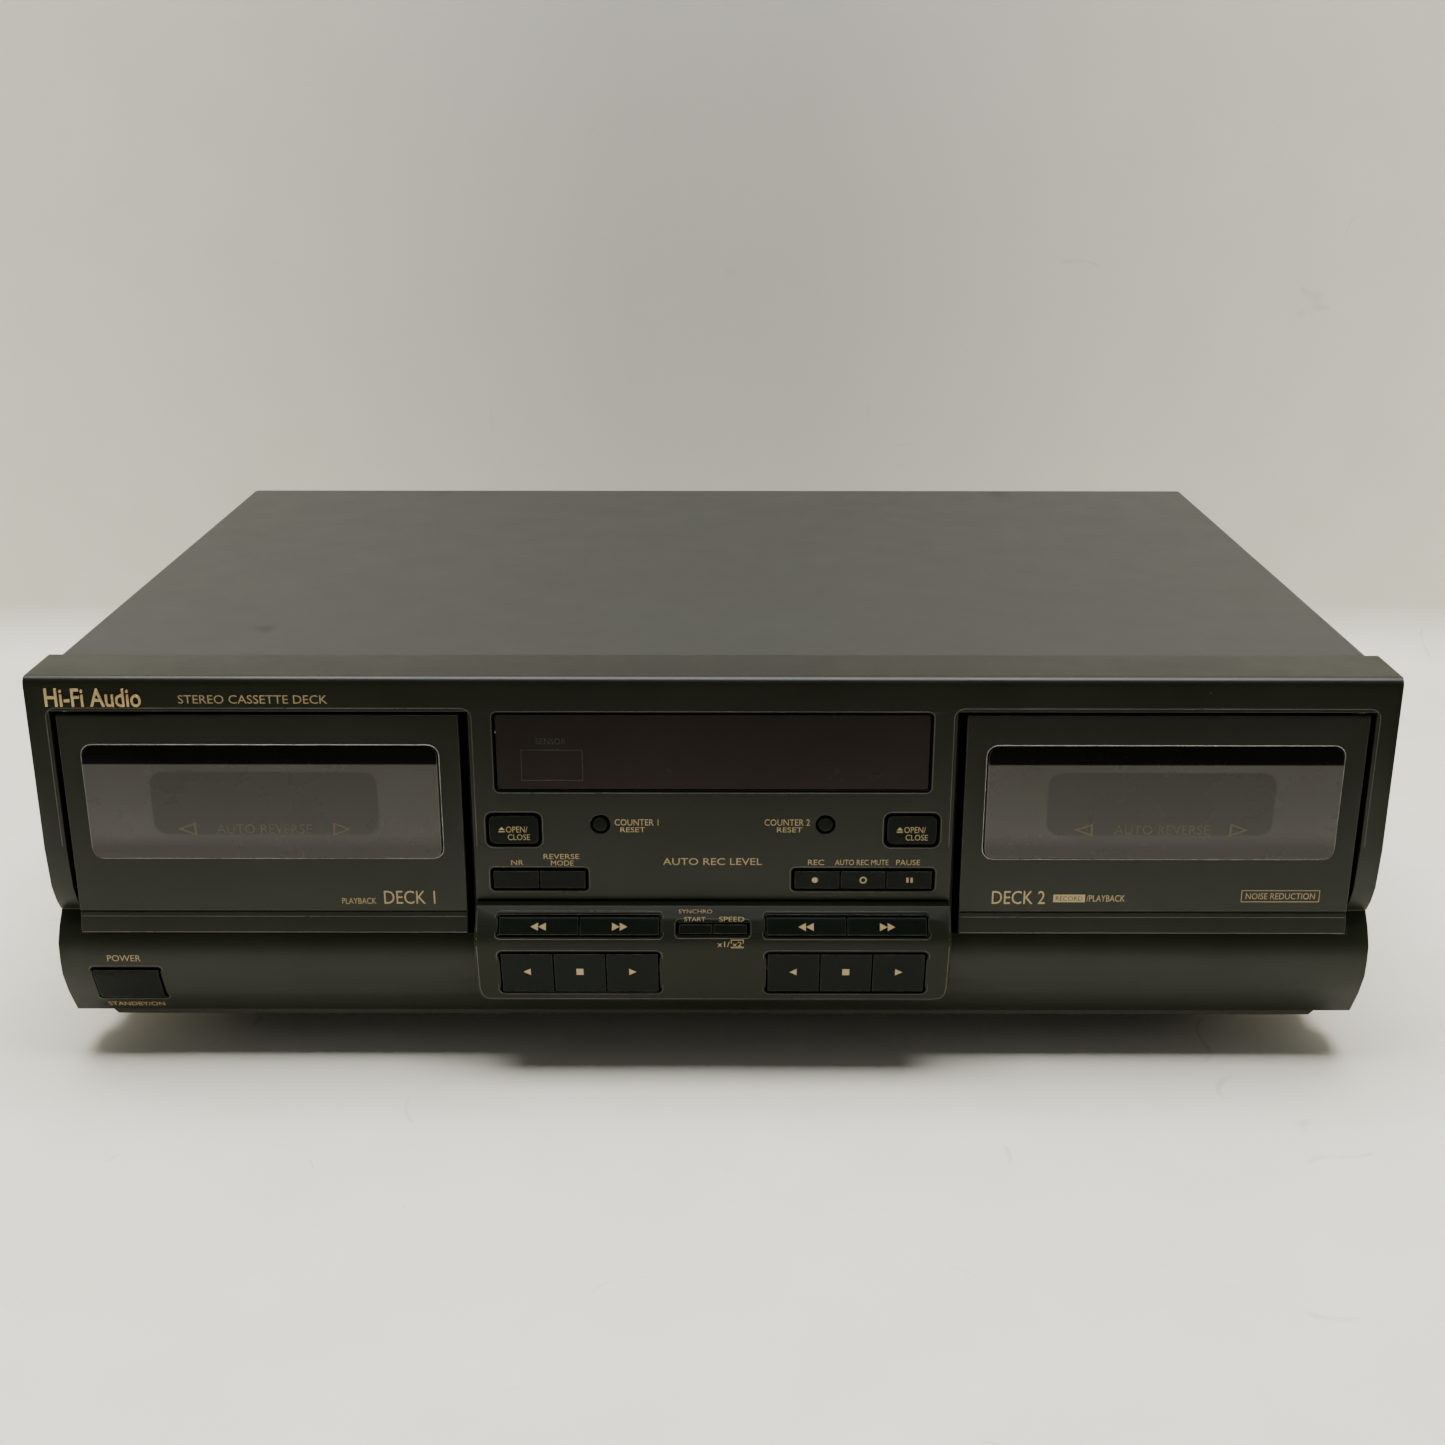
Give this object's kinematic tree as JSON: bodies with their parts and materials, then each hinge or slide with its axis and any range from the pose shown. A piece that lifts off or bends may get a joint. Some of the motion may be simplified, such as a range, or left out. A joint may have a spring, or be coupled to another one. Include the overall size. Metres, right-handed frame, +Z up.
{
  "type": "double cassette deck",
  "caption": "Full-width hi-fi double cassette deck with two tilting cassette doors, a central display and control column, and a steel case on feet.",
  "frame": {"origin": "centre of the deck's outer box, on the plane its feet stand on", "axes": "+X across the front to the deck's right seen from the front, +Y from front to back, +Z up"},
  "size_m": [0.43, 0.2974, 0.136],
  "materials": {
    "black_abs": "fine moulded texture, satin black",
    "button_abs": "smooth moulded, semi-gloss black",
    "smoked_acrylic": "clear smoked, glossy",
    "painted_steel": "satin baked enamel, charcoal",
    "zinc_steel": "bright zinc plate",
    "rubber": "matte",
    "nylon": "satin",
    "brass": "turned",
    "phenolic_board": "printed circuit laminate",
    "tube_glass": "clear display tube",
    "lamination_steel": "varnished laminations"
  },
  "bodies": {
    "chassis": {"front_fascia": "black_abs", "transport_panel": "black_abs", "display_window": "smoked_acrylic", "top_cover": "painted_steel", "chassis_base": "zinc_steel", "rear_panel": "zinc_steel", "mech_plate_1": "zinc_steel", "mech_plate_2": "zinc_steel", "capstan_motor_1": "zinc_steel", "capstan_motor_2": "zinc_steel", "foot_front_left": "rubber", "foot_front_right": "rubber", "foot_rear_left": "rubber", "foot_rear_right": "rubber", "rca_jack_block": "nylon", "cord_gland": "nylon", "main_board": "phenolic_board", "switch_board": "phenolic_board", "display_tube": "tube_glass", "power_transformer": "lamination_steel"},
    "door_1": {"door_frame_1": "black_abs", "door_window_1": "smoked_acrylic", "cassette_holder_1": "zinc_steel"},
    "door_2": {"door_frame_2": "black_abs", "door_window_2": "smoked_acrylic", "cassette_holder_2": "zinc_steel"},
    "power_button": {"power_button": "button_abs"},
    "open_close_button_1": {"open_close_button_1": "button_abs"},
    "open_close_button_2": {"open_close_button_2": "button_abs"},
    "counter_reset_button_1": {"counter_reset_button_1": "button_abs"},
    "counter_reset_button_2": {"counter_reset_button_2": "button_abs"},
    "noise_reduction_button": {"noise_reduction_button": "button_abs"},
    "reverse_mode_button": {"reverse_mode_button": "button_abs"},
    "record_button": {"record_button": "button_abs"},
    "record_mute_button": {"record_mute_button": "button_abs"},
    "pause_button": {"pause_button": "button_abs"},
    "synchro_start_button": {"synchro_start_button": "button_abs"},
    "speed_button": {"speed_button": "button_abs"},
    "rewind_button_1": {"rewind_button_1": "button_abs"},
    "fast_forward_button_1": {"fast_forward_button_1": "button_abs"},
    "play_reverse_button_1": {"play_reverse_button_1": "button_abs"},
    "stop_button_1": {"stop_button_1": "button_abs"},
    "play_button_1": {"play_button_1": "button_abs"},
    "rewind_button_2": {"rewind_button_2": "button_abs"},
    "fast_forward_button_2": {"fast_forward_button_2": "button_abs"},
    "play_reverse_button_2": {"play_reverse_button_2": "button_abs"},
    "stop_button_2": {"stop_button_2": "button_abs"},
    "play_button_2": {"play_button_2": "button_abs"},
    "reel_left_1": {"reel_left_1": "nylon"},
    "flywheel_left_1": {"flywheel_left_1": "brass"},
    "reel_right_1": {"reel_right_1": "nylon"},
    "flywheel_right_1": {"flywheel_right_1": "brass"},
    "motor_pulley_1": {"motor_pulley_1": "brass"},
    "head_carriage_1": {"head_carriage_1": "zinc_steel"},
    "reel_left_2": {"reel_left_2": "nylon"},
    "flywheel_left_2": {"flywheel_left_2": "brass"},
    "reel_right_2": {"reel_right_2": "nylon"},
    "flywheel_right_2": {"flywheel_right_2": "brass"},
    "motor_pulley_2": {"motor_pulley_2": "brass"},
    "head_carriage_2": {"head_carriage_2": "zinc_steel"}
  },
  "joints": [
    {"name": "door_1_tilt", "type": "hinge", "parent": "chassis", "child": "door_1", "pos_m": [-0.1429, -0.13185, 0.052], "axis": [1, 0, 0], "range_deg": [0, 22]},
    {"name": "door_2_tilt", "type": "hinge", "parent": "chassis", "child": "door_2", "pos_m": [0.1429, -0.13185, 0.052], "axis": [1, 0, 0], "range_deg": [0, 22]},
    {"name": "power_press", "type": "slide", "parent": "chassis", "child": "power_button", "axis": [0, 1, 0], "range_m": [0, 0.003], "stiffness_N_per_m": 250},
    {"name": "open_close_1_press", "type": "slide", "parent": "chassis", "child": "open_close_button_1", "axis": [0, 1, 0], "range_m": [0, 0.001], "stiffness_N_per_m": 300},
    {"name": "open_close_2_press", "type": "slide", "parent": "chassis", "child": "open_close_button_2", "axis": [0, 1, 0], "range_m": [0, 0.001], "stiffness_N_per_m": 300},
    {"name": "counter_reset_1_press", "type": "slide", "parent": "chassis", "child": "counter_reset_button_1", "axis": [0, 1, 0], "range_m": [0, 0.001], "stiffness_N_per_m": 300},
    {"name": "counter_reset_2_press", "type": "slide", "parent": "chassis", "child": "counter_reset_button_2", "axis": [0, 1, 0], "range_m": [0, 0.001], "stiffness_N_per_m": 300},
    {"name": "noise_reduction_press", "type": "slide", "parent": "chassis", "child": "noise_reduction_button", "axis": [0, 1, 0], "range_m": [0, 0.001], "stiffness_N_per_m": 300},
    {"name": "reverse_mode_press", "type": "slide", "parent": "chassis", "child": "reverse_mode_button", "axis": [0, 1, 0], "range_m": [0, 0.001], "stiffness_N_per_m": 300},
    {"name": "record_press", "type": "slide", "parent": "chassis", "child": "record_button", "axis": [0, 1, 0], "range_m": [0, 0.001], "stiffness_N_per_m": 300},
    {"name": "record_mute_press", "type": "slide", "parent": "chassis", "child": "record_mute_button", "axis": [0, 1, 0], "range_m": [0, 0.001], "stiffness_N_per_m": 300},
    {"name": "pause_press", "type": "slide", "parent": "chassis", "child": "pause_button", "axis": [0, 1, 0], "range_m": [0, 0.001], "stiffness_N_per_m": 300},
    {"name": "synchro_start_press", "type": "slide", "parent": "chassis", "child": "synchro_start_button", "axis": [0, 1, 0], "range_m": [0, 0.001], "stiffness_N_per_m": 300},
    {"name": "speed_press", "type": "slide", "parent": "chassis", "child": "speed_button", "axis": [0, 1, 0], "range_m": [0, 0.001], "stiffness_N_per_m": 300},
    {"name": "rewind_1_press", "type": "slide", "parent": "chassis", "child": "rewind_button_1", "axis": [0, 1, 0], "range_m": [0, 0.001], "stiffness_N_per_m": 300},
    {"name": "fast_forward_1_press", "type": "slide", "parent": "chassis", "child": "fast_forward_button_1", "axis": [0, 1, 0], "range_m": [0, 0.001], "stiffness_N_per_m": 300},
    {"name": "play_reverse_1_press", "type": "slide", "parent": "chassis", "child": "play_reverse_button_1", "axis": [0, 1, 0], "range_m": [0, 0.001], "stiffness_N_per_m": 300},
    {"name": "stop_1_press", "type": "slide", "parent": "chassis", "child": "stop_button_1", "axis": [0, 1, 0], "range_m": [0, 0.001], "stiffness_N_per_m": 300},
    {"name": "play_1_press", "type": "slide", "parent": "chassis", "child": "play_button_1", "axis": [0, 1, 0], "range_m": [0, 0.001], "stiffness_N_per_m": 300},
    {"name": "rewind_2_press", "type": "slide", "parent": "chassis", "child": "rewind_button_2", "axis": [0, 1, 0], "range_m": [0, 0.001], "stiffness_N_per_m": 300},
    {"name": "fast_forward_2_press", "type": "slide", "parent": "chassis", "child": "fast_forward_button_2", "axis": [0, 1, 0], "range_m": [0, 0.001], "stiffness_N_per_m": 300},
    {"name": "play_reverse_2_press", "type": "slide", "parent": "chassis", "child": "play_reverse_button_2", "axis": [0, 1, 0], "range_m": [0, 0.001], "stiffness_N_per_m": 300},
    {"name": "stop_2_press", "type": "slide", "parent": "chassis", "child": "stop_button_2", "axis": [0, 1, 0], "range_m": [0, 0.001], "stiffness_N_per_m": 300},
    {"name": "play_2_press", "type": "slide", "parent": "chassis", "child": "play_button_2", "axis": [0, 1, 0], "range_m": [0, 0.001], "stiffness_N_per_m": 300},
    {"name": "reel_left_1_spin", "type": "hinge", "parent": "chassis", "child": "reel_left_1", "pos_m": [-0.16415, -0.11785, 0.0945], "axis": [0, 1, 0], "continuous": true},
    {"name": "flywheel_left_1_spin", "type": "hinge", "parent": "chassis", "child": "flywheel_left_1", "pos_m": [-0.1759, -0.08785, 0.068], "axis": [0, 1, 0], "continuous": true},
    {"name": "reel_right_1_spin", "type": "hinge", "parent": "chassis", "child": "reel_right_1", "pos_m": [-0.12165, -0.11785, 0.0945], "axis": [0, 1, 0], "continuous": true},
    {"name": "flywheel_right_1_spin", "type": "hinge", "parent": "chassis", "child": "flywheel_right_1", "pos_m": [-0.1099, -0.08785, 0.068], "axis": [0, 1, 0], "continuous": true},
    {"name": "motor_pulley_1_spin", "type": "hinge", "parent": "chassis", "child": "motor_pulley_1", "pos_m": [-0.1429, -0.08385, 0.041], "axis": [0, 1, 0], "continuous": true},
    {"name": "head_carriage_1_lift", "type": "slide", "parent": "chassis", "child": "head_carriage_1", "axis": [0, 0, 1], "range_m": [0, 0.005]},
    {"name": "reel_left_2_spin", "type": "hinge", "parent": "chassis", "child": "reel_left_2", "pos_m": [0.12165, -0.11785, 0.0945], "axis": [0, 1, 0], "continuous": true},
    {"name": "flywheel_left_2_spin", "type": "hinge", "parent": "chassis", "child": "flywheel_left_2", "pos_m": [0.1099, -0.08785, 0.068], "axis": [0, 1, 0], "continuous": true},
    {"name": "reel_right_2_spin", "type": "hinge", "parent": "chassis", "child": "reel_right_2", "pos_m": [0.16415, -0.11785, 0.0945], "axis": [0, 1, 0], "continuous": true},
    {"name": "flywheel_right_2_spin", "type": "hinge", "parent": "chassis", "child": "flywheel_right_2", "pos_m": [0.1759, -0.08785, 0.068], "axis": [0, 1, 0], "continuous": true},
    {"name": "motor_pulley_2_spin", "type": "hinge", "parent": "chassis", "child": "motor_pulley_2", "pos_m": [0.1429, -0.08385, 0.041], "axis": [0, 1, 0], "continuous": true},
    {"name": "head_carriage_2_lift", "type": "slide", "parent": "chassis", "child": "head_carriage_2", "axis": [0, 0, 1], "range_m": [0, 0.005]}
  ],
  "couplings": [
    {"joint": "flywheel_right_1_spin", "follows": "flywheel_left_1_spin", "ratio": -1},
    {"joint": "motor_pulley_1_spin", "follows": "flywheel_left_1_spin", "ratio": 3.6},
    {"joint": "flywheel_right_2_spin", "follows": "flywheel_left_2_spin", "ratio": -1},
    {"joint": "motor_pulley_2_spin", "follows": "flywheel_left_2_spin", "ratio": 3.6}
  ]
}
